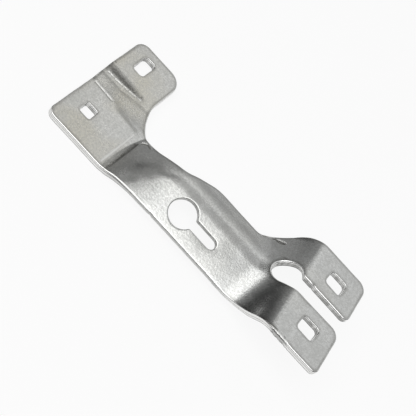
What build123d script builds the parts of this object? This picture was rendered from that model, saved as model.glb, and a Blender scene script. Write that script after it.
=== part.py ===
from build123d import *
from math import cos, radians, sin, sqrt, tan
import os

os.makedirs("parts", exist_ok=True)

# One formed steel sheet. X runs along the body from the head to the fork tabs, Y runs across
# it towards the side lobe, and Z is up, square to the head plate. The origin is the centre of
# the square bolt hole, in the head plate's underside, which seats on the frame.

# Sheet
sheet = 5.0

# Head plate and its side lobe
head_end = 19.0              # from the bolt hole's centre to the head's end edge
head_side = 26.5             # from the bolt hole's centre to the long straight edge
head_width = 112.4
head_length = 47.5
bolt_square = 10.5
bolt_corner = 1.6
lobe_pitch = 67.5            # from the bolt hole to the lobe's slot
lobe_slot = 17.8
lobe_slot_shift = 0.9        # how far the lobe's slot lies nearer the end edge than the bolt hole
lobe_corner = 3.0
joggle_start = 24.3          # from the bolt hole to the foot of the joggle
joggle_run = 14.7
joggle_rise = 3.0
end_corner = 7.0
lobe_end_corner = 9.0
lobe_back_corner = 13.0
neck_radius = 33.0

# Body: a low roof of two slopes with a rounded ridge
neck_width = 42.7
neck_length = 25.5           # straight part of the neck, past its round corner
neck_flare = 27.0
flare_radius = 22.0
body_width = 60.5
body_end = 172.5             # from the head's end to where the sheet flares to the tabs
edge_rise = 5.3              # height of the body's straight edge above the head plate
wide_angle = 18.0
narrow_angle = 22.3
ridge_place = 40.5           # from the straight edge to the ridge
ridge_band = 8.4             # depth of roof that the rounding of the ridge takes in
neck_angle = 4.6             # of the wide slope where the neck begins
neck_place = 68.0
twist_run = 44.0             # how far along the neck it turns to the wide slope's full angle

# Ramp from the head plate up to the body
lead_start = 55.1            # where the head plate first bends up, ahead of the ramp
lead_angle = 13.5
rise_start = 61.5            # from the head's end, on the line of the straight edge
rise_skew = 3.0              # slant of the ramp's foot
rise_angle = 25.5
rise_foot_band = 0.9
rise_top_band = 5.2

# Ramp from the body up to the fork tabs
tab_height = 33.0            # above the head plate
ramp_top = 216.0             # from the head's end, on the line of the straight edge
ramp_skew = 4.2              # slant of the ramp's top
ramp_angle = 53.6
ramp_foot_band = 18.5        # on the line of the straight edge
ramp_foot_spread = 0.175     # how much the band grows for each millimetre across
ramp_top_band = 10.8

# Fork tabs
tab_reach = 266.7            # from the head's end to the tabs' end, on the line of the straight edge
tab_skew = 5.0               # slant of the tabs' end and of their slots' stagger
tab_overhang = 9.0           # how far the first tab stands out past the straight edge
overhang_start = 189.0
overhang_run = 28.0
overhang_radius = 45.0
fork_gap_start = 32.4        # from the straight edge to the gap between the tabs
fork_gap = 12.6
tab_width = 37.2             # of the second tab
shoulder_run = 27.0
shoulder_foot = 12.0
shoulder_radius = 16.0
relief_radius = 10.9
relief_lip = 4.0             # radius where the relief runs out into the gap
relief_place = 206.0         # from the head's end to the centre of the fork's round relief
tab_outer_corner = 9.0
tab_gap_corner = 5.0
tab_slot_length = 15.4
tab_slot_width = 12.4
tab_slot_corner = 3.0
tab_slot_setback = 23.2      # from the tabs' end to the slots' centres
slot_one_place = 14.4        # from the straight edge to the first tab's slot
slot_two_place = 63.1

# Keyhole in the wide slope
key_place = 122.2            # from the head's end to the centre of its round part
key_offset = 19.3            # from the straight edge, measured along the slope
key_diameter = 23.0
key_slot_width = 8.6
key_slot_reach = 34.0        # from the round part's centre to the slot's end

# How finely the formed stretches are drawn
side_margin = 12.0
first_form = 50.0
last_rise = 112.0
first_ramp = 170.0
last_form = 228.0
form_step = 2.5
point_step = 4.0
flat_split = 44.5
fall_split = 73.5


def soft_max(a, b, band):
    """The larger of two heights, with their crease rounded over the given band of height."""
    overlap = max(band - abs(a - b), 0.0) / band
    return max(a, b) + overlap * overlap * band / 4


def soft_min(a, b, band):
    """The smaller of two heights, rounded in the same way."""
    return -soft_max(-a, -b, band)


def head_height(y):
    """Top of the head plate and its raised lobe, y from the straight edge."""
    climb = (y - head_side - joggle_start) * joggle_rise / joggle_run
    bend_band = joggle_rise / 10
    return soft_min(soft_max(climb, 0.0, bend_band), joggle_rise, bend_band)


def body_height(x, y):
    """Top of the body's roof, whose wide slope opens from the neck's angle to its own."""
    still_closed = max(neck_place + twist_run - x, 0.0) / twist_run
    full_slope = tan(radians(wide_angle))
    slope = full_slope - (full_slope - tan(radians(neck_angle))) * still_closed**2
    ridge_height = edge_rise + ridge_place * slope
    narrow = ridge_height - (y - ridge_place) * tan(radians(narrow_angle))
    return soft_min(edge_rise + y * slope, narrow, ridge_band)


def rise_height(x, y):
    """Top of the first ramp: a shallow lead from the head plate, then the ramp itself."""
    foot = rise_start - y * tan(radians(rise_skew))
    lead_slope = tan(radians(lead_angle))
    ramp = (foot - lead_start) * lead_slope + (x - foot) * tan(radians(rise_angle))
    return soft_max((x - lead_start) * lead_slope, ramp, rise_foot_band)


def top_height(x, y):
    """Height of the sheet's top above the head plate's top, x from the head's end."""
    body = soft_min(body_height(x, y), rise_height(x, y), rise_top_band)
    low = soft_max(head_height(y), body, rise_foot_band)
    skewed_top = ramp_top - y * tan(radians(ramp_skew))
    ramp = tab_height - (skewed_top - x) * tan(radians(ramp_angle))
    foot_band = ramp_foot_band + y * ramp_foot_spread
    return soft_min(soft_max(low, ramp, foot_band), tab_height, ramp_top_band)


def under_height(x, y):
    """Height of the sheet's underside, one sheet thickness below the top, square to it."""
    step = 0.05
    slope_x = (top_height(x + step, y) - top_height(x - step, y)) / (2 * step)
    slope_y = (top_height(x, y + step) - top_height(x, y - step)) / (2 * step)
    return top_height(x, y) - sheet * sqrt(1 + slope_x**2 + slope_y**2)


def place(x, y, z):
    """From the head's end corner and the head plate's top to the part's own frame."""
    return Vector(x - head_end, y - head_side, z + sheet)


def profile_edge(height, x, y_from, y_to):
    """One stretch of a cross-section's top or underside: straight where the sheet is flat."""
    count = max(2, round(abs(y_to - y_from) / point_step))
    across = [y_from + (y_to - y_from) * k / count for k in range(count + 1)]
    points = [place(x, y, height(x, y)) for y in across]
    heights = [point.Z for point in points]
    if max(heights) - min(heights) < 1e-6:
        return Line(points[0], points[-1])
    nudge = (y_to - y_from) * 1e-4
    first = place(x, y_from + nudge, height(x, y_from + nudge)) - points[0]
    last = points[-1] - place(x, y_to - nudge, height(x, y_to - nudge))
    return Spline(*points, tangents=[first, last])


def section(x):
    """Closed cross-section of the uncut sheet at one place along the body."""
    splits = [-tab_overhang - side_margin, flat_split, fall_split, head_width + side_margin]
    spans = list(zip(splits[:-1], splits[1:]))
    top = [profile_edge(top_height, x, a, b) for a, b in spans]
    under = [profile_edge(under_height, x, b, a) for a, b in reversed(spans)]
    right = Line(top[-1] @ 1, under[0] @ 0)
    left = Line(under[-1] @ 1, top[0] @ 0)
    return Wire(top + [right] + under + [left])


def stations(x_from, x_to):
    """Evenly spaced places along a formed stretch."""
    count = round((x_to - x_from) / form_step)
    return [x_from + (x_to - x_from) * k / count for k in range(count + 1)]


def formed(x_from, x_to):
    """A stretch whose cross-section changes along the body."""
    return loft([Face(section(x)) for x in stations(x_from, x_to)])


def straight(x_from, x_to):
    """A stretch that keeps one cross-section."""
    return extrude(Face(section(x_from)), amount=x_to - x_from, dir=(1, 0, 0))


def uncut_sheet():
    """The sheet as it leaves the forming dies, before its outline and holes are cut."""
    head = extrude(Face(section(first_form)), amount=first_form + side_margin, dir=(-1, 0, 0))
    rise = formed(first_form, last_rise)
    body = straight(last_rise, first_ramp)
    ramp = formed(first_ramp, last_form)
    tabs = straight(last_form, tab_reach + side_margin)
    return head + rise + body + ramp + tabs


def tab_end(y):
    """Where the tabs' slanted end lies, at a distance y from the straight edge."""
    return tab_reach - y * tan(radians(tab_skew))


def outline():
    """Plan of the cut sheet: corner points, each with its own radius."""
    gap_end = fork_gap_start + fork_gap
    far_side = gap_end + tab_width
    corners = [
        (0, 0, end_corner),
        (overhang_start, 0, overhang_radius),
        (overhang_start + overhang_run, -tab_overhang, overhang_radius),
        (tab_end(-tab_overhang), -tab_overhang, tab_gap_corner),
        (tab_end(fork_gap_start), fork_gap_start, tab_outer_corner),
        (relief_place, fork_gap_start, 0),
        (relief_place, gap_end, 0),
        (tab_end(gap_end), gap_end, tab_gap_corner),
        (tab_end(far_side), far_side, tab_outer_corner),
        (body_end + shoulder_run, far_side, shoulder_radius),
        (body_end, body_width, shoulder_foot),
        (head_length + neck_radius + neck_length + neck_flare, body_width, flare_radius),
        (head_length + neck_radius + neck_length, neck_width, flare_radius),
        (head_length, neck_width, neck_radius),
        (head_length, head_width, lobe_back_corner),
        (0, head_width, lobe_end_corner),
    ]
    plan = make_face(Polyline(*[(x, y) for x, y, _ in corners], close=True))
    for x, y, radius in corners:
        if radius > 0:
            plan = fillet(plan.vertices().sort_by_distance((x, y, 0))[0], radius)
    relief_middle = fork_gap_start + relief_radius
    plan -= Pos(relief_place, relief_middle) * Circle(relief_radius)
    lip = relief_place + sqrt(relief_radius**2 - (gap_end - relief_middle)**2)
    return fillet(plan.vertices().sort_by_distance((lip, gap_end, 0))[0], relief_lip)


def upright_cut(sketch):
    """A cut straight down through every level of the sheet."""
    reach = tab_height + 2 * sheet
    return extrude(Pos(-head_end, -head_side, -sheet) * sketch, amount=reach + 2 * sheet)


def keyhole():
    """The keyhole's cutter, square to the wide slope."""
    across = key_offset * cos(radians(wide_angle))
    middle = place(key_place, across, edge_rise + across * tan(radians(wide_angle)))
    slope = Plane(middle, x_dir=(1, 0, 0), z_dir=(0, -sin(radians(wide_angle)), cos(radians(wide_angle))))
    slot_run = key_slot_reach - key_slot_width / 2
    shape = Circle(key_diameter / 2)
    shape += Pos(slot_run / 2, 0) * Rectangle(slot_run, key_slot_width)
    shape += Pos(slot_run, 0) * Circle(key_slot_width / 2)
    return extrude(slope * shape, amount=2 * sheet, both=True)


def bracket():
    """The finished bracket: formed sheet, trimmed to its outline and pierced."""
    body = uncut_sheet() & upright_cut(outline())
    bolt = Pos(head_end, head_side) * RectangleRounded(bolt_square, bolt_square, bolt_corner)
    lobe_middle = Pos(head_end - lobe_slot_shift, head_side + lobe_pitch)
    lobe = lobe_middle * RectangleRounded(bolt_square, lobe_slot, lobe_corner)
    body -= upright_cut(bolt)
    body -= upright_cut(lobe)
    for y in (slot_one_place, slot_two_place):
        slot = RectangleRounded(tab_slot_length, tab_slot_width, tab_slot_corner)
        body -= upright_cut(Pos(tab_end(y) - tab_slot_setback, y) * slot)
    return body - keyhole()


part = bracket()
part = part.clean()
solid = part.solids()[0]
export_step(solid, "parts/bracket.step")
box = solid.bounding_box()
print("bracket", len(part.solids()), "solid", round(solid.volume), "mm3", box.min, box.max)
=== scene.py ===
# %% [markdown]
# # A pressed steel bumper bracket
# The real object is one 5 mm sheet of zinc-plated steel. A press punches its outline and
# holes out of flat sheet, and then forms the flat blank over a die. This lesson builds it
# in the same order: draw the plan, cut a flat blank with rolled rims, press it, plate it.
#
# It could also be sculpted or subdivided from a cage. Pressing a flat blank by a formula was
# chosen because the sheet then keeps one thickness and its cut edges stay square to it.

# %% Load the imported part
from math import atan2, cos, pi, radians, sin, sqrt, tan

import bpy
import numpy as np
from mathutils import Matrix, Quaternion, Vector
from mathutils.geometry import delaunay_2d_cdt


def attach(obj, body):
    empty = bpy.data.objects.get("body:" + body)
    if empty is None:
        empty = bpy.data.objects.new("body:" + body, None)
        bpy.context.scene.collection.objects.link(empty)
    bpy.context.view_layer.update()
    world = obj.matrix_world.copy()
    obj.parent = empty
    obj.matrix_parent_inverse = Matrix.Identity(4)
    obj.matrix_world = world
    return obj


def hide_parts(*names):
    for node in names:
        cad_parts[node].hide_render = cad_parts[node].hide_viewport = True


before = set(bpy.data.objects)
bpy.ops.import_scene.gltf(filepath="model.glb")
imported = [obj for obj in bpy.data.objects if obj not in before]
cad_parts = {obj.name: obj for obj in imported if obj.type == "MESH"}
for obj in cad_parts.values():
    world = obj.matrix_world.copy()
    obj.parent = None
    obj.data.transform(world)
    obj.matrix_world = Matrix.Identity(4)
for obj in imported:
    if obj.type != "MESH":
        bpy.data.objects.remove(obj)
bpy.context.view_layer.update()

# %% [markdown]
# ## The sizes of the blank
# All sizes are millimetres. X runs from the head plate's end edge towards the fork tabs, and
# Y from the long straight edge towards the side lobe. The head's square hole is the part's
# own origin, and the press moves everything there at the very end.

# %% Plan sizes
sheet = 5.0
head_end, head_side = 19.0, 26.5  # from the end and the straight edge to the square hole
head_length, head_width = 47.5, 112.4
neck_width, body_width = 44.6, 59.9
gap_near, gap_far, far_side = 32.4, 45.0, 83.2  # the fork's gap and its far side
tab_reach, tab_skew, tab_overhang = 266.7, 5.0, 9.0
relief_middle, relief_radius, relief_lip = (205.7, 41.7), 10.3, 4.0
head_edge = -0.4  # the head's straight edge stands out a little
slope_angle = 18.0  # of the body's wide slope, in degrees


def tab_end(y):
    """Where the tabs' slanted end lies at a distance y from the straight edge."""
    return tab_reach - y * tan(radians(tab_skew))


print("plan", round(tab_end(-tab_overhang), 1), "by", head_width + tab_overhang, "mm")

# %% [markdown]
# ## Drawing the plan
# A punched plate is drawn with corner points and a radius at each. One helper turns such a
# list into a closed line. Bezier curves with a Fillet node could do the same, but the round
# relief between the tabs needs exact arcs, and plain points are easy to wear and roll later.

# %% Arcs and rounded corners
def arc(centre, radius, start, end, step):
    """Points on an arc, about one step apart."""
    count = max(3, int(abs(end - start) * radius / step) + 1)
    turn = np.linspace(start, end, count + 1)
    return [(centre[0] + radius * cos(a), centre[1] + radius * sin(a)) for a in turn]


def rounded(corners, step):
    """A closed line through corner points (x, y, radius), with arcs at the corners."""
    line = []
    for k, (x, y, radius) in enumerate(corners):
        corner = Vector((x, y))
        if radius == 0:
            line.append((x, y))
            continue
        back = (Vector(corners[k - 1][:2]) - corner).normalized()
        ahead = (Vector(corners[(k + 1) % len(corners)][:2]) - corner).normalized()
        half = back.angle(ahead) / 2
        middle = corner + (back + ahead).normalized() * (radius / sin(half))
        first = corner + back * (radius / tan(half)) - middle
        last = corner + ahead * (radius / tan(half)) - middle
        start = atan2(first.y, first.x)
        turn = (atan2(last.y, last.x) - start + pi) % (2 * pi) - pi
        line += arc(middle, radius, start, start + turn, step)
    return line


# %% The outer edge
outline_step, lip_step = 0.8, 0.5


def fork_root():
    """The round relief between the tabs, and the lip that leads on to the far tab."""
    middle = Vector(relief_middle)
    lip_y = gap_far + relief_lip
    lip_x = middle.x + sqrt((relief_radius + relief_lip) ** 2 - (lip_y - middle.y) ** 2)
    lean = atan2(lip_y - middle.y, lip_x - middle.x)
    relief = arc(middle, relief_radius, -pi / 2, lean - 2 * pi, outline_step)
    lip = arc((lip_x, lip_y), relief_lip, pi + lean, 1.5 * pi, lip_step)
    return relief + lip[1:]


def outline():
    """The bracket's outer edge from corners (x, y, radius), anticlockwise from above."""
    near_edge = [(0, head_edge, 7), (50, head_edge, 60), (70, 0, 60), (193, 0, 45),
                 (222.5, -tab_overhang, 26)]
    near_tab = [(tab_end(-tab_overhang), -tab_overhang, 5), (tab_end(gap_near), gap_near, 9)]
    notch = [(x, y, 0) for x, y in fork_root()]
    far_tab = [(tab_end(gap_far), gap_far, 5), (tab_end(far_side), far_side, 9),
               (199.5, far_side, 16), (172.5, body_width, 12)]
    neck = [(127.5, body_width, 24), (101.5, neck_width, 22),
            (head_length, neck_width - 1.8, 33)]
    head = [(head_length, head_width, 13), (0, head_width, 9)]
    return rounded(near_edge + near_tab + notch + far_tab + neck + head, outline_step)


plan = [outline()]
print("outer edge", len(plan[0]), "points")

# %% The holes
bolt_square, square_corner = 10.5, 1.6
lobe_hole, lobe_hole_length, slot_corner = (18.1, 94), 17.8, 3
tab_slot, tab_slot_back, tab_slot_rows = (15.4, 12.4), 23.2, (14.4, 63.1)
keyhole_place, round_radius = (122.2, 19.3), 11.5
slot_half, slot_reach, slot_mouth = 4.3, 29.7, 2.0
round_step, hole_step, mouth_step = 0.6, 0.5, 0.35


def window(x, y, width, height, radius):
    """A rounded rectangular hole, clockwise, so that the metal is always on the left."""
    w, h = width / 2, height / 2
    corners = [(x - w, y - h, radius), (x - w, y + h, radius),
               (x + w, y + h, radius), (x + w, y - h, radius)]
    return rounded(corners, hole_step)


def keyhole():
    """The keyhole, drawn on the slope and then foreshortened into the plan, clockwise."""
    along = sqrt((round_radius + slot_mouth) ** 2 - (slot_half + slot_mouth) ** 2)
    lean = atan2(slot_half + slot_mouth, along)
    line = arc((0, 0), round_radius, lean, 2 * pi - lean, round_step)
    low = arc((along, -slot_half - slot_mouth), slot_mouth, pi - lean, pi / 2, mouth_step)
    nose = arc((slot_reach, 0), slot_half, -pi / 2, pi / 2, hole_step)
    high = arc((along, slot_half + slot_mouth), slot_mouth, -pi / 2, -pi + lean, mouth_step)
    ring = line[:-1] + low[:-1] + nose + high[:-1]
    flat = cos(radians(slope_angle))
    return [(keyhole_place[0] + x, (keyhole_place[1] + y) * flat) for x, y in ring[::-1]]


plan += [window(head_end, head_side, bolt_square, bolt_square, square_corner),
         window(*lobe_hole, bolt_square, lobe_hole_length, slot_corner), keyhole()]
for y in tab_slot_rows:
    plan.append(window(tab_end(y) - tab_slot_back, y, *tab_slot, slot_corner))
print("plan loops", [len(loop) for loop in plan])

# %% [markdown]
# ## Punched edges
# A punch leaves a cut that is not quite straight: it waves by a few hundredths of a
# millimetre, steps where two strokes meet, and has a nick and a torn stretch. Noise in a
# displacement could wave it too, but the line is moved here, before it has any thickness, so
# that the cut stays square to the sheet.

# %% Helpers for closed lines
shortest_step = 0.05


def evened(loop, step):
    """The same closed line with points about one step apart."""
    points = []
    for here, there in zip(loop, loop[1:] + loop[:1]):
        here, there = Vector(here), Vector(there)
        count = max(1, round((there - here).length / step))
        points += [here.lerp(there, k / count) for k in range(count)]
    before = points[-1:] + points[:-1]
    return np.array([p for p, q in zip(points, before) if (p - q).length > shortest_step])


def inward(loop):
    """At each point, the direction into the metal, longer where a corner needs it."""
    ahead = np.roll(loop, -1, 0) - loop
    ahead /= np.linalg.norm(ahead, axis=1)[:, None]
    left = np.stack([-ahead[:, 1], ahead[:, 0]], 1)
    both = left + np.roll(left, 1, 0)
    return both / np.maximum((both * both).sum(1) / 2, 0.5)[:, None]


def inside(points, loops):
    """Which points lie in the metal, by counting the edges crossed on the way out."""
    crossed = np.zeros(len(points), int)
    for loop in loops:
        ahead = np.roll(loop, -1, 0)
        for (x1, y1), (x2, y2) in zip(loop, ahead):
            spans = (points[:, 1] < y1) != (points[:, 1] < y2)
            where = x1 + (points[:, 1] - y1) / ((y2 - y1) or 1) * (x2 - x1)
            crossed += spans & (points[:, 0] < where)
    return crossed % 2 == 1


# %% The wear of the cut
edge_step = 0.8
ripples = ((12, 0.06), (3, 0.04))  # how many points long, and how deep
set_in = 0.12  # the whole cut lies this far in, so that a ripple stays in the plan
stroke = (103.5, 172.8)  # the body's straight edge is set back between these two places


def worn(loop, into, seed):
    """The same line with the small waviness, the nicks and the tear of a punched edge."""
    random = np.random.default_rng(seed)
    wave = np.zeros(len(loop))
    for width, size in ripples:
        rough = random.normal(size=len(loop))
        bell = np.exp(-(np.arange(-3 * width, 3 * width + 1) / width) ** 2 / 2)
        smooth = np.convolve(np.tile(rough, 3), bell, "same")[len(loop):2 * len(loop)]
        wave += size * smooth / smooth.std()
    x, y = loop.T
    straight = (np.abs(y) < 0.3) & (x > 62)
    set_back = straight & (x > stroke[0]) & (x < stroke[1])
    keyhole_nick = straight * np.exp(-((x - 106.5) / 0.9) ** 2)
    gap_nick = np.exp(-((x - 226.5) / 1.2) ** 2) * (np.abs(y - gap_far) < 1)
    torn = (x > 220) & (x < 240) & (y < 2 - tab_overhang)
    wave += set_back * 0.26
    wave += keyhole_nick * 0.35
    wave += gap_nick * 0.5
    wave += torn * np.abs(np.sin(x * 1.9) + np.sin(x * 3.1)) * 0.3
    return loop + into * np.maximum(wave + set_in, 0.0)[:, None]


loops = [evened(loop, edge_step) for loop in plan]
loops = [worn(loop, inward(loop), seed) for seed, loop in enumerate(loops)]
edge_in = [inward(loop) for loop in loops]
print("worn loops", [len(loop) for loop in loops])

# %% [markdown]
# ## Rolled rims
# A punch drags the sheet's top edge down into a soft roll and leaves a crisper edge with a
# small burr below. A Bevel modifier would round both edges alike. Here every loop gets a
# profile, as pairs of how far in from the cut and how deep. The roll is widest along the
# body's straight edge and where a tool has pinched the near tab. Its colour is painted: a
# dark line of shade just inside the roll and a bright highlight on it, except where it is
# widest.

# %% Rim profiles
edge_roll = (1.7, 1.15)  # width and depth of the outer edge's roll, where it is widest
hole_roll = (1.0, 0.75)
sharp_roll = 0.6  # the narrowest roll, as a share of that width
burr = 0.3
quarter = np.linspace(0, pi / 2, 8)
# Painted tones of the rim: a dark line of shade, then a bright painted highlight on the roll.
rim_shade_and_highlight_tones = (0.8, 1.0, 0.1, -0.6, -1.0, -1.0, -1.0, -0.6)  # dark line, then bright roll


def softness(loop):
    """How widely the rim is rolled: 1 on the body's straight edge, less elsewhere."""
    x, y = loop.T
    on_body = np.interp(x, (55, 68, 176, 190), (0, 1, 1, 0)) * (y < 9) * (y > -9)
    in_body = np.all((x > 95) & (x < 170)) * 1.0  # the keyhole
    pinched = np.interp(x, (219, 223, 234, 239), (0, 1, 1, 0)) * (y < -7)
    return on_body + in_body + pinched * (1.3 + 0.4 * np.sin(x * 1.3))


def profile(roll_width, roll_depth):
    """The rim from the top face round to the bottom face, as pairs of inset and depth."""
    lead_in = [(roll_width * 1.4, 0.0), (roll_width * 1.12, 0.0)]
    roll = [(roll_width * (1 - sin(a)), -roll_depth * (1 - cos(a))) for a in quarter]
    wall = [(0.0, -sheet * part) for part in (0.31, 0.4, 0.5, 0.6, 0.7, 0.8, 0.88)]
    low = [(burr * (1 - cos(a)), burr * (1 - sin(a)) - sheet) for a in quarter[1::2]]
    return lead_in + roll + wall + low + [(burr + 0.6, -sheet)]


rims = [profile(*edge_roll)] + [profile(*hole_roll)] * (len(loops) - 1)
print("rim profile", len(rims[0]), "rows")

# %% Sew the rims
points, faces, rings = [], [], []
told = {"cut_face": [], "hole_wall_shade": [], "rim_shade_and_highlight": [], "soft_edge": []}  # for the finish
for number, (loop, into, rim) in enumerate(zip(loops, edge_in, rims)):
    ring = []
    soft = softness(loop)
    width = soft + sharp_roll * (1 - soft)
    x, y = loop.T
    in_fork = 1.0 * ((x > 190) & (y > 25) & (y < 58))
    for row, (inset, depth) in enumerate(rim):
        start = sum(len(p) for p in points)
        spot = loop + into * (inset * width)[:, None]
        points.append(np.column_stack([spot, np.full(len(loop), depth)]))
        on_cut = 1.0 if -sheet < depth < -0.5 else 0.0
        told["cut_face"].append(np.full(len(loop), on_cut))
        # Hole walls, and the outline's walls in the fork, are marked for painted shade on
        # their lower part.
        told["hole_wall_shade"].append(on_cut * (in_fork if number == 0 else np.ones(len(loop))))
        # The tone paints shade as a dark line inside the rim and a highlight on the roll.
        tone = rim_shade_and_highlight_tones[row] if row < len(rim_shade_and_highlight_tones) else 0.0
        told["rim_shade_and_highlight"].append(np.clip(1 - soft, 0, 1) * tone)
        told["soft_edge"].append(soft)
        ring.append(np.arange(start, start + len(loop)))
    rings.append(ring)
    for upper, lower in zip(ring, ring[1:]):
        u, l = np.roll(upper, -1), np.roll(lower, -1)
        faces += list(zip(upper, lower, l, u))
print("rims", len(faces), "faces")

# %% [markdown]
# ## The two flat faces
# Between the rims the sheet is filled with small, even triangles, because the press can only
# bend it where it has points. A subdivided grid could be cut by Boolean, but slivers along a
# cut show in polished metal. A Delaunay fill of spread points meets the rims cleanly, and the
# points are closer where the die has left fine marks.

# %% Spread points
fine_spots = [(0, 44, 47, 53, 0.5), (0, 44, 61, 76, 0.5), (51, 67, 0, 50, 0.45),
              (172, 198, 58, 76, 0.5), (100, 112, 0, 12, 0.5)]  # two x, two y, spacing
rim_clearance = 0.55
plan_box = (-1, 270, -12, 115)
row_pitch = 0.866  # the height of an even triangle with sides of 1


def lattice(clear, spacing, spots):
    """Evenly spread points in the metal, clear of the loops and finer in some spots."""
    spread = []
    for x1, x2, y1, y2, apart in [(*plan_box, spacing)] + spots:
        rows = np.arange(y1, y2, apart * row_pitch)
        spot = np.array([(x + apart / 2 * (k % 2), y) for k, y in enumerate(rows)
                         for x in np.arange(x1, x2, apart)])
        if apart == spacing:
            for x3, x4, y3, y4, _ in spots:
                beside = (spot[:, 0] < x3) | (spot[:, 0] > x4)
                spot = spot[beside | (spot[:, 1] < y3) | (spot[:, 1] > y4)]
        spread.append(spot)
    spread = np.concatenate(spread)
    return spread[inside(spread, [l + e * c for l, e, c in zip(loops, edge_in, clear)])]


# %% Fill the two faces
top_spacing, low_spacing = 1.0, 2.0
same_point = 1e-6


def fill(row, spacing, spots, flip):
    """Triangles between one row of every rim and the points spread over that face."""
    border = np.concatenate([ring[row] for ring in rings])
    base = np.concatenate(points)
    spread = lattice([rim[row][0] + rim_clearance for rim in rims], spacing, spots)
    start = len(base)
    points.append(np.column_stack([spread, np.full(len(spread), rims[0][row][1])]))
    for values in told.values():
        values.append(np.zeros(len(spread)))
    index = np.concatenate([border, np.arange(start, start + len(spread))])
    flat = np.concatenate([base[border, :2], spread])
    edges, ranges, first = [], [], 0
    for ring in rings:
        count = len(ring[row])
        edges += [(first + k, first + (k + 1) % count) for k in range(count)]
        ranges.append(np.arange(first, first + count))
        first += count
    made = delaunay_2d_cdt([Vector(p) for p in flat], edges, [], 0, same_point)
    origin = [came[0] for came in made[3]]
    triangles = np.array([[origin[v] for v in face] for face in made[2]])
    on_border = (triangles < len(border)).all(1)
    metal = ~on_border
    middle = flat[triangles[on_border]].mean(1)
    metal[on_border] = inside(middle, [flat[run] for run in ranges])
    triangles = index[triangles[metal]]
    faces.extend(triangles[:, ::-1] if flip else triangles)
    return len(triangles)


top_count = fill(0, top_spacing, fine_spots, False)
low_count = fill(len(rims[0]) - 1, low_spacing, [], True)
blank_points = np.concatenate(points)
print("triangles on top", top_count, "and below", low_count)

# %% Make the blank a mesh
blank_mesh = bpy.data.meshes.new("flat_blank")
blank_mesh.from_pydata((blank_points / 1000).tolist(), [], [list(map(int, f)) for f in faces])
blank_mesh.update()
for name, values in told.items():
    stored = blank_mesh.attributes.new(name, "FLOAT", "POINT")
    stored.data.foreach_set("value", np.concatenate(values))
blank = bpy.data.objects.new("flat_blank", blank_mesh)
bpy.context.scene.collection.objects.link(blank)
print("blank", len(blank_mesh.vertices), "points", len(blank_mesh.polygons), "faces")

# %% [markdown]
# ## Formulas as nodes
# The die's shape is a formula, and Geometry Nodes can work it out for every point. Wiring
# dozens of Math nodes by hand is slow to write and to read, so a small class lets a socket
# be used in plain arithmetic, and each sign makes its own node.

# %% A socket that does arithmetic
class Wire:
    """A node socket that takes part in formulas."""

    def __init__(self, tree, socket):
        self.tree, self.socket = tree, socket

    def math(self, operation, *others):
        """The result of a new Math node that has this value as its first input."""
        node = self.tree.nodes.new("ShaderNodeMath")
        node.operation = operation
        for slot, value in zip(node.inputs, (self, *others)):
            if isinstance(value, Wire):
                self.tree.links.new(value.socket, slot)
            else:
                slot.default_value = value
        return Wire(self.tree, node.outputs[0])

    def __add__(self, other):
        return self.math("ADD", other)

    def __sub__(self, other):
        return self.math("SUBTRACT", other)

    def __mul__(self, other):
        return self.math("MULTIPLY", other)

    def __truediv__(self, other):
        return self.math("DIVIDE", other)

    def held(self, low, high):
        """The value, kept between two limits."""
        return self.math("MAXIMUM", low).math("MINIMUM", high)


# %% Creases, limits and humps
def soft_max(a, b, band):
    """The larger of two heights, with their crease rounded over a band of height."""
    gap = (a - b).math("ABSOLUTE") * -1.0
    overlap = (gap + band).math("MAXIMUM", 0.0) / band
    return a.math("MAXIMUM", b) + overlap * overlap * band * 0.25


def soft_min(a, b, band):
    """The smaller of two heights, rounded in the same way."""
    return soft_max(a * -1.0, b * -1.0, band) * -1.0


def between(value, low, high, soft):
    """1 between two limits, fading to 0 over a soft stretch inside each."""
    return ((value - low) / soft).held(0.0, 1.0) * ((value - high) / -soft).held(0.0, 1.0)


def bump(value, width):
    """A smooth hump, 1 where the value is 0."""
    return (value * value * (-1.0 / width ** 2)).math("EXPONENT")


# %% Noise and node groups
def noise(tree, x, y, z, scale, detail):
    """Smooth noise at a point, from about -0.5 to 0.5."""
    place = tree.nodes.new("ShaderNodeCombineXYZ")
    for slot, value in zip(place.inputs, (x, y, z)):
        if isinstance(value, Wire):
            tree.links.new(value.socket, slot)
        else:
            slot.default_value = value
    node = tree.nodes.new("ShaderNodeTexNoise")
    node.inputs["Scale"].default_value = scale
    node.inputs["Detail"].default_value = detail
    tree.links.new(place.outputs[0], node.inputs["Vector"])
    return Wire(tree, node.outputs[0]) - 0.5


def new_group(name, inputs, outputs):
    """An empty Geometry Nodes group with float sockets, and its inputs as wires."""
    tree = bpy.data.node_groups.new(name, "GeometryNodeTree")
    for socket in inputs:
        tree.interface.new_socket(socket, in_out="INPUT", socket_type="NodeSocketFloat")
    for socket in outputs:
        tree.interface.new_socket(socket, in_out="OUTPUT", socket_type="NodeSocketFloat")
    source = tree.nodes.new("NodeGroupInput")
    return tree, {socket: Wire(tree, source.outputs[socket]) for socket in inputs}


def end_group(tree, **outputs):
    """Wire a group's results to its outputs."""
    out = tree.nodes.new("NodeGroupOutput")
    for name, wire in outputs.items():
        tree.links.new(wire.socket, out.inputs[name])
    print(tree.name, len(tree.nodes), "nodes")


# %% [markdown]
# ## The marks of the die
# A press tool never touches the sheet evenly. Where it folds the joggle it scrapes two broken
# lines, where it starts the ramp it leaves a thin line and a rough crease, and it pinches the
# sheet's far edge by the fork. A bump in the finish could draw them, but polished metal shows
# even a shallow mark clearly, so they are real height, some 0.4 mm at most. Their colour is
# painted too: the scraped lines brighter, as rubbed zinc and as painted highlights, and the
# creases and the bands beside the marks darker, as painted shade with some dirt.

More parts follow.
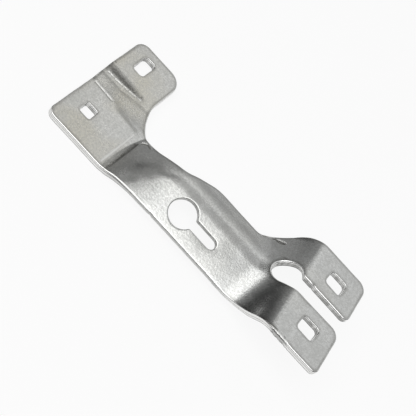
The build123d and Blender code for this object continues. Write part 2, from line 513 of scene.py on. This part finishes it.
# %% Where the marks lie
marks, at = new_group("die_marks", ["X", "Y"], ["Height", "Scuff", "Grime"])
x, y = at["X"], at["Y"]
chatter = noise(marks, x, y, 3.0, 0.9, 2.0)
pits = (noise(marks, x, y, 11.0, 1.1, 2.0) * 5.0 + 0.35).held(0.0, 1.0)
broken = (noise(marks, x, y * 0.2, 7.0, 0.45, 1.0) * 7.0 + 0.9).held(0.0, 1.0)

# A mark is a line, which counts millimetres across it, and a stretch where it shows. These
# are the joggle's two scraped lines and the fold that runs on from them.
foot_line = y - 51.0 + (x - 4.0) * 0.04 + chatter * 0.5
foot_where = between(x, 3.0, 25.0, 1.5) * (broken * 0.4 + 0.6)
fold_line = y - 50.8 + (x - 4.0) * 0.088
fold_where = between(x, 26.0, 58.0, 6.0)
top_line = y - 65.0 - (x - 4.0).math("MAXIMUM", 0.0).math("POWER", 1.5) * 0.018 + chatter * 0.9
top_where = between(x, 3.0, 38.5, 1.5) * (broken * 0.7 + 0.3)

# The thin line, the streaks and the rough crease where the sheet starts to climb.
lead_line = x - 53.4 - (y - 4.0) * 0.012
lead_where = between(y, 2.5, 44.5, 2.0)
streaks = noise(marks, x * 1.7, y * 0.05, 1.0, 1.0, 2.0)
streak_where = between(x, 54.3, 60.0, 1.5) * between(y, 0.5, 46.0, 2.0)
crease_line = x - 59.9 - y * 0.03 + chatter * 1.5
crease_where = between(y, 0.5, 40.0, 2.5) * (broken * 0.4 + 0.6)

# The curved mark at the neck, and the faint seam beside the keyhole.
lip_line = ((x - 66.5) * (x - 66.5) + (y - 39.2) * (y - 39.2)).math("SQRT") - 5.2
lip_where = between(x, 61.5, 71.5, 1.0) * between(y, 39.8, 48.0, 1.5)
seam_line = x - 107.2 + (y - 8.0) * 0.01
seam_where = between(y, 1.0, 17.0, 3.0)

# The hook by the fork, the band of painted shade on the lobe, and the painted shade line and
# the painted highlight of the pinch on the near tab.
hook_line = y - 68.4 + (x - 190.0) * (x - 190.0) * 0.034
hook_where = between(x, 173.0, 193.0, 1.0) * between(y, 59.0, 70.0, 1.5)
curl_line = y - 65.2 - (x - 188.5) * (x - 188.5) * 0.06
curl_where = between(x, 185.5, 192.8, 1.0)
lobe_shade_line, tail_where = y - 69.2, between(x, -14.0, 42.0, 22.0)
tab_shade_line, tab_where = y + 6.8, between(x, 216.0, 227.0, 2.5)
pinch_highlight = bump(y + 8.2, 1.2) * between(x, 220.5, 238.0, 3.0) * (chatter * 2.5 + 0.9)
dots = bump(x - 198.3, 1.6) * bump(y - 52.6, 1.2) + bump(x - 225.5, 1.5) * bump(y - 45.5, 1.6)
print("places of the marks", len(marks.nodes), "nodes")

# %% What the marks do to the sheet
def bead(line, where, high, low, gap):
    """A raised line with a scratch on its near side."""
    return (bump(line, 0.6) * high - bump(line + gap, 0.6) * low) * where


def total(first, *others):
    """All the terms added up."""
    for term in others:
        first = first + term
    return first


height = total(bead(foot_line, foot_where, 0.32, 0.16, 1.3),
               bead(top_line, top_where, 0.42, 0.06, 1.5),
               bump(fold_line, 1.6) * fold_where * -0.10,
               bump(lead_line, 0.5) * lead_where * 0.04,
               streaks * streak_where * 0.07,
               bump(crease_line, 0.6) * crease_where * (chatter * 2.6 + 0.9) * -0.2,
               bead(lip_line, lip_where, 0.36, 0.26, 1.4),
               bump(seam_line, 0.6) * seam_where * 0.03,
               bead(hook_line, hook_where, 0.40, 0.26, 1.3),
               bump(curl_line, 0.5) * curl_where * -0.18)
# Painted highlights, with real rubbing: the scraped lines, the lip, the hook, the seam and the
# near tab's pinch are painted brighter.
scuff_and_highlight = total(bump(foot_line, 0.8) * foot_where,
              bump(top_line, 1.2) * top_where * (chatter * 2.4 + 1.1),
              bump(lead_line, 0.75) * lead_where * 1.3,
              bump(lip_line, 0.8) * lip_where * 1.3,
              pinch_highlight * 0.8,
              bump(hook_line, 0.6) * hook_where,
              bump(seam_line, 0.5) * seam_where * 0.4)
# Painted shade, with some dirt: darker in the rough crease and its pits, beside the scraped
# lines, the lip and the hook, along the fold, in the band of the lobe, in two spots and along
# the near tab's edge.
dirt_and_shade = total(bump(crease_line, 1.0) * crease_where * (chatter * 2.0 + 1.1),
              bump(curl_line, 0.6) * curl_where,
              bump(hook_line + 1.3, 0.7) * hook_where * 1.3,
              bump(lip_line + 1.2, 0.6) * lip_where,
              bump(foot_line + 1.1, 0.5) * foot_where * 0.6,
              bump(fold_line, 1.8) * fold_where * 0.4,
              bump(lobe_shade_line, 2.7) * tail_where * (chatter * 2.6 + 0.95),
              bump(crease_line + 0.9, 1.5) * crease_where * pits,
              bump(top_line - 2.0, 1.8) * top_where * pits * 0.8,
              dots * 0.8,
              bump(tab_shade_line, 0.9) * tab_where)
end_group(marks, Height=height, Scuff=scuff_and_highlight.held(0.0, 1.0), Grime=dirt_and_shade.held(0.0, 1.0))

# %% [markdown]
# ## The die
# The top of the die is planes joined by soft creases: the head with its raised lobe, a ramp,
# the low roof of the body with a ridge, a steeper ramp, and the level of the fork tabs. The
# roof's wide slope starts almost flat at the neck and opens along the body, and its crest
# drifts towards the straight edge there. It could be sculpted, but a formula keeps each plane
# true. It is one node group, so that the press can ask for its height at several places.

# %% Sizes of the die
def grade(degrees):
    """A slope as rise over run."""
    return tan(radians(degrees))


die_sizes = {
    "Joggle foot": 51.2, "Joggle slope": grade(14.0), "Joggle rise": 3.2,
    "Joggle tail": 73.5, "Tail slope": 0.1, "Joggle band": 0.55,
    "Edge rise": 5.3, "Edge bend": 0.14,
    "Wide slope": grade(slope_angle), "Narrow slope": grade(22.3),
    "Neck slope": grade(4.6), "Neck place": 68.0, "Twist run": 44.0,
    "Ridge place": 40.5, "Crest shift": 4.0, "Ridge band": 8.4,
    "Lead start": 55.1, "Lead slope": grade(13.5), "Lead band": 0.2,
    "Rise start": 61.5, "Rise skew": grade(3.0), "Rise slope": grade(25.5),
    "Rise foot band": 0.3, "Rise top band": 5.2,
    "Tab height": 33.0, "Ramp top": 216.35, "Ramp skew": grade(5.8),
    "Ramp slope": grade(53.6), "Ramp foot band": 18.5, "Ramp foot spread": 0.175,
    "Ramp top band": 10.8,
}
print("die", len(die_sizes), "sizes")

# %% The die as a node group
die, at = new_group("die_height", ["X", "Y", *die_sizes], ["Height", "Scuff", "Grime"])
x, y = at["X"], at["Y"]
# The head plate and its raised lobe.
climb = (y - at["Joggle foot"]) * at["Joggle slope"]
behind = (at["Joggle tail"] - y).held(0.0, 9.0)
tail = at["Joggle rise"] - behind * between(x, -20.0, 42.0, 20.0) * at["Tail slope"]
head = soft_min(soft_max(climb, climb * 0.0, at["Joggle band"]), tail, at["Joggle band"])

# The roof of the body: nearly closed at the neck, open further along.
closed = ((at["Neck place"] + at["Twist run"] - x) / at["Twist run"]).math("MAXIMUM", 0.0)
slope = at["Wide slope"] - (at["Wide slope"] - at["Neck slope"]) * closed * closed
bent = (y * -0.55).math("EXPONENT") * between(x, 72.0, 202.0, 12.0) * at["Edge bend"]
wide = at["Edge rise"] + y * slope - bent
crest = at["Ridge place"] - closed.math("MINIMUM", 1.0) * at["Crest shift"]
ridge = at["Edge rise"] + crest * slope
roof = soft_min(wide, ridge - (y - crest) * at["Narrow slope"], at["Ridge band"])

# The rise from the head to the body, with its gentle lead-in.
lead = (x - at["Lead start"]) * at["Lead slope"]
foot = at["Rise start"] - y * at["Rise skew"]
rise = (foot - at["Lead start"]) * at["Lead slope"] + (x - foot) * at["Rise slope"]
body = soft_min(roof, soft_max(lead, rise, at["Rise foot band"]), at["Rise top band"])
low = soft_max(head, body, at["Lead band"])

# The steep ramp and the level of the tabs.
ramp = at["Tab height"] - (at["Ramp top"] - y * at["Ramp skew"] - x) * at["Ramp slope"]
foot_band = at["Ramp foot band"] + y * at["Ramp foot spread"]
height = soft_min(soft_max(low, ramp, foot_band), at["Tab height"], at["Ramp top band"])

# Two shallow dents, a slow sway, and the marks on top of it all.
dent = bump(y - 29.0, 9.0) * bump(x - 158.0, 22.0) * -0.28
dent = dent - bump(y - 19.0, 6.0) * bump(x - 147.0, 12.0) * 0.35
sway = dent + noise(die, x, y, 1.0, 0.04, 1.0) * 0.08 + noise(die, x, y, 5.0, 0.2, 2.0) * 0.01
found = die.nodes.new("GeometryNodeGroup")
found.node_tree = marks
die.links.new(x.socket, found.inputs["X"])
die.links.new(y.socket, found.inputs["Y"])
height = height + sway + Wire(die, found.outputs["Height"])
end_group(die, Height=height, Scuff=Wire(die, found.outputs["Scuff"]),
          Grime=Wire(die, found.outputs["Grime"]))

# %% [markdown]
# ## The press
# Each point of the blank keeps its place in plan. The press lifts it to the die's height and
# then moves it square to the surface by its own depth in the sheet. The direction comes from
# the die's height a hair to each side, as a slope is measured on a drawing. A Shrinkwrap
# modifier onto a modelled die would lose the sheet's thickness.

# %% The press as Geometry Nodes
press = bpy.data.node_groups.new("press_the_sheet", "GeometryNodeTree")
press.interface.new_socket("Geometry", in_out="INPUT", socket_type="NodeSocketGeometry")
press_inputs = {"Origin X": head_end, "Origin Y": head_side, "Origin Z": sheet, **die_sizes}
for name in press_inputs:
    press.interface.new_socket(name, in_out="INPUT", socket_type="NodeSocketFloat")
press.interface.new_socket("Finish", in_out="INPUT", socket_type="NodeSocketMaterial")
press.interface.new_socket("Geometry", in_out="OUTPUT", socket_type="NodeSocketGeometry")
source = press.nodes.new("NodeGroupInput")
position = press.nodes.new("GeometryNodeInputPosition")
split = press.nodes.new("ShaderNodeSeparateXYZ")
press.links.new(position.outputs[0], split.inputs[0])
x, y, depth = (Wire(press, split.outputs[k]) * 1000.0 for k in range(3))


def die_at(x, y):
    """A copy of the die group that looks at one place."""
    node = press.nodes.new("GeometryNodeGroup")
    node.node_tree = die
    press.links.new(x.socket, node.inputs["X"])
    press.links.new(y.socket, node.inputs["Y"])
    for name in die_sizes:
        press.links.new(source.outputs[name], node.inputs[name])
    return node


def height_at(x, y):
    """The die's height at one place."""
    return Wire(press, die_at(x, y).outputs["Height"])


hair = 0.1
here = die_at(x, y)
lift = Wire(press, here.outputs["Height"])
slope_x = (height_at(x + hair, y) - height_at(x - hair, y)) / (2 * hair)
slope_y = (height_at(x, y + hair) - height_at(x, y - hair)) / (2 * hair)
step = depth / (slope_x * slope_x + slope_y * slope_y + 1.0).math("SQRT")
goal = press.nodes.new("ShaderNodeCombineXYZ")
goals = [x - slope_x * step - Wire(press, source.outputs["Origin X"]),
         y - slope_y * step - Wire(press, source.outputs["Origin Y"]),
         lift + step + Wire(press, source.outputs["Origin Z"])]
for k, wire in enumerate(goals):
    press.links.new((wire * 0.001).socket, goal.inputs[k])
print("press", len(press.nodes), "nodes before the finish")

# %% Keep what the finish needs, and end the tree
def keep(geometry, name, value):
    """Store one number at every point under a name that the finish can read."""
    node = press.nodes.new("GeometryNodeStoreNamedAttribute")
    node.data_type = "FLOAT"
    node.domain = "POINT"
    node.inputs["Name"].default_value = name
    press.links.new(geometry, node.inputs["Geometry"])
    press.links.new(value.socket, node.inputs["Value"])
    return node.outputs[0]


geometry = keep(source.outputs["Geometry"], "scuff_and_highlight", Wire(press, here.outputs["Scuff"]))
geometry = keep(geometry, "dirt_and_shade", Wire(press, here.outputs["Grime"]))
geometry = keep(geometry, "sheet_depth", depth / -sheet)
move = press.nodes.new("GeometryNodeSetPosition")
realize = press.nodes.new("GeometryNodeRealizeInstances")
dress = press.nodes.new("GeometryNodeSetMaterial")
out = press.nodes.new("NodeGroupOutput")
press.links.new(geometry, move.inputs["Geometry"])
press.links.new(goal.outputs[0], move.inputs["Position"])
press.links.new(move.outputs[0], realize.inputs[0])
press.links.new(realize.outputs[0], dress.inputs["Geometry"])
press.links.new(source.outputs["Finish"], dress.inputs["Material"])
press.links.new(dress.outputs[0], out.inputs[0])
print("press tree", len(press.nodes), "nodes")

# %% [markdown]
# ## Zinc plate
# Bright zinc is a cloudy mirror. It has a fine grain that breaks reflections into sparkle,
# larger clouds where the plating is thicker, a faint warm stain on the head here and there,
# and it is dull and scraped where the tool has rubbed. The scraped lines are also painted
# bright as highlights, and the creases and bands beside them are painted dark as shade. The
# rim's roll gets a painted highlight with a painted dark line of shade inside it. The cut
# faces are brighter, with a smooth upper part that the punch sheared and a rough lower part
# where the sheet tore. Painted dark lines of shade run along them, and the lower walls of
# holes are painted dark as shade. A photographed texture could show this, but noise in
# object space has no seams and any scale.

# %% Helpers for the zinc material
zinc = bpy.data.materials.new("zinc_plate")
zinc.use_nodes = True
nodes, links = zinc.node_tree.nodes, zinc.node_tree.links
shader = nodes["Principled BSDF"]
coordinates = nodes.new("ShaderNodeTexCoord")


def texture(scale, detail, stretch=(1, 1, 1)):
    """Noise in object space, with a scale in features per metre."""
    mapping = nodes.new("ShaderNodeMapping")
    mapping.inputs["Scale"].default_value = stretch
    node = nodes.new("ShaderNodeTexNoise")
    node.inputs["Scale"].default_value = scale
    node.inputs["Detail"].default_value = detail
    links.new(coordinates.outputs["Object"], mapping.inputs["Vector"])
    links.new(mapping.outputs[0], node.inputs["Vector"])
    return Wire(zinc.node_tree, node.outputs[0])


def kept(name):
    """A number stored on the mesh."""
    node = nodes.new("ShaderNodeAttribute")
    node.attribute_name = name
    return Wire(zinc.node_tree, node.outputs["Fac"])


def blend(factor, first, second):
    """A colour that goes from the first to the second with the factor."""
    node = nodes.new("ShaderNodeMix")
    node.data_type = "RGBA"
    links.new(factor.socket, node.inputs[0])
    for slot, colour in zip((node.inputs[6], node.inputs[7]), (first, second)):
        if isinstance(colour, tuple):
            slot.default_value = (*colour, 1)
        else:
            links.new(colour, slot)
    return node.outputs[2]


# %% Noises and stored numbers
grain = texture(1500.0, 3.0)
fleck = texture(620.0, 2.0)
cloud = texture(95.0, 4.0)
mottle = texture(270.0, 2.0)
stain = texture(24.0, 2.0)
tear = texture(260.0, 3.0, (1, 1, 0.15))
cut_face, stored_scuff_and_highlight, stored_dirt_and_shade = kept("cut_face"), kept("scuff_and_highlight"), kept("dirt_and_shade")
sheet_depth, hole_wall_shade = kept("sheet_depth"), kept("hole_wall_shade")
rim_shade_and_highlight, soft_edge = kept("rim_shade_and_highlight"), kept("soft_edge")
place = nodes.new("ShaderNodeSeparateXYZ")
links.new(coordinates.outputs["Object"], place.inputs[0])
# 1 over the head plate, falling to 0.15 over the body and the fork.
on_head = ((Wire(zinc.node_tree, place.outputs[0]) - 0.06) * -20.0).held(0.15, 1.0)
print("noises and numbers", len(nodes), "nodes")

# %% Colours, one over another
thick = (cloud * 1.9 + mottle * (on_head * 0.8 + 0.6) - on_head * 0.4 - 0.75).held(0, 1)
body_zinc = blend(thick, (0.63, 0.64, 0.63), (0.775, 0.785, 0.775))
head_zinc = blend(thick, (0.605, 0.607, 0.575), (0.80, 0.80, 0.77))
plate = blend(on_head, body_zinc, head_zinc)
low_cut = cut_face * soft_edge * (sheet_depth * 1.2).held(0, 0.7)
# Painted shade on the lower, torn part of the hole walls, broken up by the tear noise.
low_wall_shade = ((sheet_depth - 0.4) * 3.0).held(0, 0.4) + tear * 2.4 - 1.0
# Painted shade as dark lines along the cut: one where the shear meets the tear, and one at the
# bottom edge.
shear_shade_line = bump(sheet_depth - 0.42 + soft_edge * 0.15, 0.09) * (soft_edge * 0.6 + 0.35)
cut_shade_lines = shear_shade_line + ((sheet_depth - 0.86) * 16.0).held(0, 1)
layers = [
    ("warm stain", (stain * 5.0 - 2.3).held(0, 0.7) * on_head, (0.68, 0.655, 0.56)),
    ("dull flecks", (fleck * 3.4 - 1.45).held(0, 0.42), (0.53, 0.53, 0.515)),
    # Painted shade as a dark line just inside the rim, and a painted highlight on the rim's
    # roll.
    ("painted shade inside the rim", rim_shade_and_highlight * (cloud * 1.4 - 0.1).held(0, 0.7), (0.22, 0.215, 0.20)),
    ("painted rim highlight", (rim_shade_and_highlight * -0.85).held(0, 1), (0.97, 0.97, 0.96)),
    # Rubbed marks, painted brighter as highlights.
    ("scuffs and painted highlights", (stored_scuff_and_highlight * 0.9).held(0, 1), (0.95, 0.95, 0.93)),
    # Painted shade in creases and beside the marks, with some dirt.
    ("dirt_and_shade", (stored_dirt_and_shade * 0.9).held(0, 0.95), (0.16, 0.158, 0.145)),
    ("cut face", cut_face * (tear * 0.4 + 0.75).held(0, 1), (0.90, 0.90, 0.885)),
    ("lower cut of the soft edge", low_cut, (0.55, 0.55, 0.54)),
    # Painted shade on the lower walls of holes.
    ("painted shade on the torn wall of a hole", hole_wall_shade * low_wall_shade.held(0, 0.75), (0.26, 0.26, 0.25)),
    # Painted shade as dark lines along the cut.
    ("painted shade lines along the cut", (cut_shade_lines * cut_face * (fleck + 0.7)).held(0, 0.97),
     (0.04, 0.04, 0.038)),
]
for title, factor, colour in layers:
    plate = blend(factor, plate, colour)
links.new(plate, shader.inputs["Base Color"])
print("colours over the plate:", ", ".join(title for title, _, _ in layers))

# %% Gloss and grain
shader.inputs["Metallic"].default_value = 1.0
torn = ((sheet_depth - 0.40) * 12.0).held(0, 1) * cut_face
rough = cloud * 0.14 + fleck * 0.08 + (stored_dirt_and_shade + torn) * 0.2 + stored_scuff_and_highlight * 0.4 + 0.135
links.new(rough.held(0.08, 0.7).socket, shader.inputs["Roughness"])
relief = nodes.new("ShaderNodeBump")
relief.inputs["Distance"].default_value = 0.00012
relief.inputs["Strength"].default_value = 0.5
surface = grain * 0.3 + fleck * (on_head * -0.35 + 1.0) + tear * torn * 2.5
links.new(surface.socket, relief.inputs["Height"])
links.new(relief.outputs[0], shader.inputs["Normal"])
print("zinc material", len(nodes), "nodes")

# %% [markdown]
# ## Pressing the blank
# The modifier's inputs are found by their sockets' identifiers and are set before Blender
# first evaluates the object. The result becomes a plain mesh of its own, with no modifier
# left on it, and that mesh takes the place of the CAD's bracket.

# %% Press the blank
modifier = blank.modifiers.new("press", "NODES")
modifier.node_group = press
for item in press.interface.items_tree:
    if item.in_out == "INPUT" and item.name in press_inputs:
        modifier[item.identifier] = press_inputs[item.name]
    if item.name == "Finish":
        modifier[item.identifier] = zinc
bpy.context.view_layer.update()
graph = bpy.context.evaluated_depsgraph_get()
pressed_mesh = bpy.data.meshes.new_from_object(blank.evaluated_get(graph))
pressed_mesh.name = "pressed_sheet"
pressed = bpy.data.objects.new("pressed_sheet", pressed_mesh)
bpy.context.scene.collection.objects.link(pressed)
bpy.data.objects.remove(blank)
pressed_mesh.shade_smooth()
print("pressed sheet", len(pressed_mesh.vertices), "points")

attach(pressed, "root")
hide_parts("bracket")

# %% [markdown]
# ## Camera
# The bracket is seen from above and in front, at about 51 degrees and from 0.7 m away, with
# the camera rolled so that the bracket runs from corner to corner. A longer lens from further
# off would flatten it: the lens and the distance were found from its own straight edges.

# %% Camera
eye, aim = Vector((0.0861, -0.42235, 0.5494)), Vector((0.112982, 0.017367, 0.010))
roll = radians(50.3157)
camera_data = bpy.data.cameras.new("camera")
camera_data.sensor_width = 36
camera_data.lens = 80.14
camera = bpy.data.objects.new("camera", camera_data)
bpy.context.scene.collection.objects.link(camera)
camera.rotation_mode = "QUATERNION"
camera.location = eye
camera.rotation_quaternion = (aim - eye).to_track_quat("-Z", "Y") @ Quaternion((0, 0, 1), roll)
bpy.context.scene.camera = camera
print("camera", round((aim - eye).length, 3), "m away")

# %% [markdown]
# ## Floor
# The floor is white paper. Lit only by the lamps it would look grey to the camera, so most of
# what the camera sees of it is a glow of strength 1, and the rest keeps the bracket's soft
# shadow. Reflections see a dimmer glow.

# %% Floor
floor_half, floor_drop = 4.0, 0.0005
camera_glow, mirror_glow = 0.88, 0.6
corners = [(-floor_half, -floor_half, -floor_drop), (floor_half, -floor_half, -floor_drop),
           (floor_half, floor_half, -floor_drop), (-floor_half, floor_half, -floor_drop)]
floor_mesh = bpy.data.meshes.new("studio_floor")
floor_mesh.from_pydata(corners, [], [(0, 1, 2, 3)])
floor = bpy.data.objects.new("studio_floor", floor_mesh)
bpy.context.scene.collection.objects.link(floor)
paper = bpy.data.materials.new("white_paper")
paper.use_nodes = True
nodes, links = paper.node_tree.nodes, paper.node_tree.links
diffuse = nodes["Principled BSDF"]
diffuse.inputs["Base Color"].default_value = (0.92, 0.92, 0.92, 1)
diffuse.inputs["Roughness"].default_value = 0.9
diffuse.inputs["Specular IOR Level"].default_value = 0.0
glow = nodes.new("ShaderNodeEmission")
glow.inputs["Strength"].default_value = 1.0
path = nodes.new("ShaderNodeLightPath")
seen = Wire(paper.node_tree, path.outputs["Is Camera Ray"])
glossy = Wire(paper.node_tree, path.outputs["Is Glossy Ray"])
mix = nodes.new("ShaderNodeMixShader")
glowing = (seen * camera_glow).math("MAXIMUM", glossy * mirror_glow)
links.new(glowing.socket, mix.inputs[0])
links.new(diffuse.outputs[0], mix.inputs[1])
links.new(glow.outputs[0], mix.inputs[2])
links.new(mix.outputs[0], nodes["Material Output"].inputs["Surface"])
floor_mesh.materials.append(paper)
print("floor", 2 * floor_half, "m across")

# %% [markdown]
# ## Lamps
# Metal shows what stands round it, so the lights are laid out as large soft tiles. The
# brightest hangs overhead in front, and the body's wide slope shows it. Dimmer tiles hang
# behind it and stand further back, where the flat plates look. The left side stays almost
# dark, which is what the steep ramp shows. A picture of a studio could light it too, but
# tiles can be moved one at a time.

# %% Lamps
grid_turn = radians(-17.0)
grid_middle = Vector((0.2, 0.05, 2.2))
wall_distance = 2.0


def softbox(name, width, height, radiance):
    """A rectangular soft light of a given brightness, facing straight down."""
    data = bpy.data.lights.new(name, "AREA")
    data.shape = "RECTANGLE"
    data.size, data.size_y = width, height
    data.energy = radiance * pi * width * height
    lamp = bpy.data.objects.new(name, data)
    bpy.context.scene.collection.objects.link(lamp)
    return lamp


def overhead(name, left, right, front, back, radiance):
    """A soft light in the ceiling, between four lines of its turned grid."""
    lamp = softbox(name, right - left, back - front, radiance)
    centre = Vector(((left + right) / 2, (front + back) / 2, 0))
    centre.rotate(Quaternion((0, 0, 1), grid_turn))
    lamp.location = grid_middle + centre
    lamp.rotation_euler = (0, 0, grid_turn)


def back_wall(name, left, right, low, high, radiance):
    """A soft light standing behind the bracket and facing the camera."""
    lamp = softbox(name, right - left, high - low, radiance)
    lamp.location = ((left + right) / 2, wall_distance, (low + high) / 2)
    lamp.rotation_euler = (-pi / 2, 0, 0)


overhead("key", -2.2, 1.6, -3.0, 0.0, 1.84)
overhead("key_left", -5.2, -2.2, -3.0, 0.0, 0.22)
overhead("fill", -0.25, 4.0, 0.0, 1.5, 0.42)
overhead("fill_middle", -0.8, -0.25, 0.15, 1.1, 0.57)
overhead("fill_behind", -0.8, -0.25, 1.1, 1.5, 0.20)
overhead("fill_left", -2.2, -0.8, 0.35, 1.9, 0.19)
back_wall("wall_left", -2.4, -0.5, 0.02, 2.3, 0.27)
back_wall("wall_low", -0.5, 4.0, 0.02, 1.2, 0.38)
back_wall("wall_middle", -0.5, 4.0, 1.2, 1.9, 0.52)
back_wall("wall_top", -0.5, 4.0, 1.9, 3.1, 0.75)
back_wall("wall_top_left", -1.4, -0.5, 2.3, 3.1, 0.64)
print("lamps", len(bpy.data.lights))

# %% World
world = bpy.data.worlds.new("studio_air")
bpy.context.scene.world = world
world.use_nodes = True
air = world.node_tree.nodes["Background"]
air.inputs["Color"].default_value = (1, 1, 1, 1)
air.inputs["Strength"].default_value = 0.035
bpy.context.scene.view_settings.view_transform = "Standard"
print("world strength", air.inputs["Strength"].default_value)
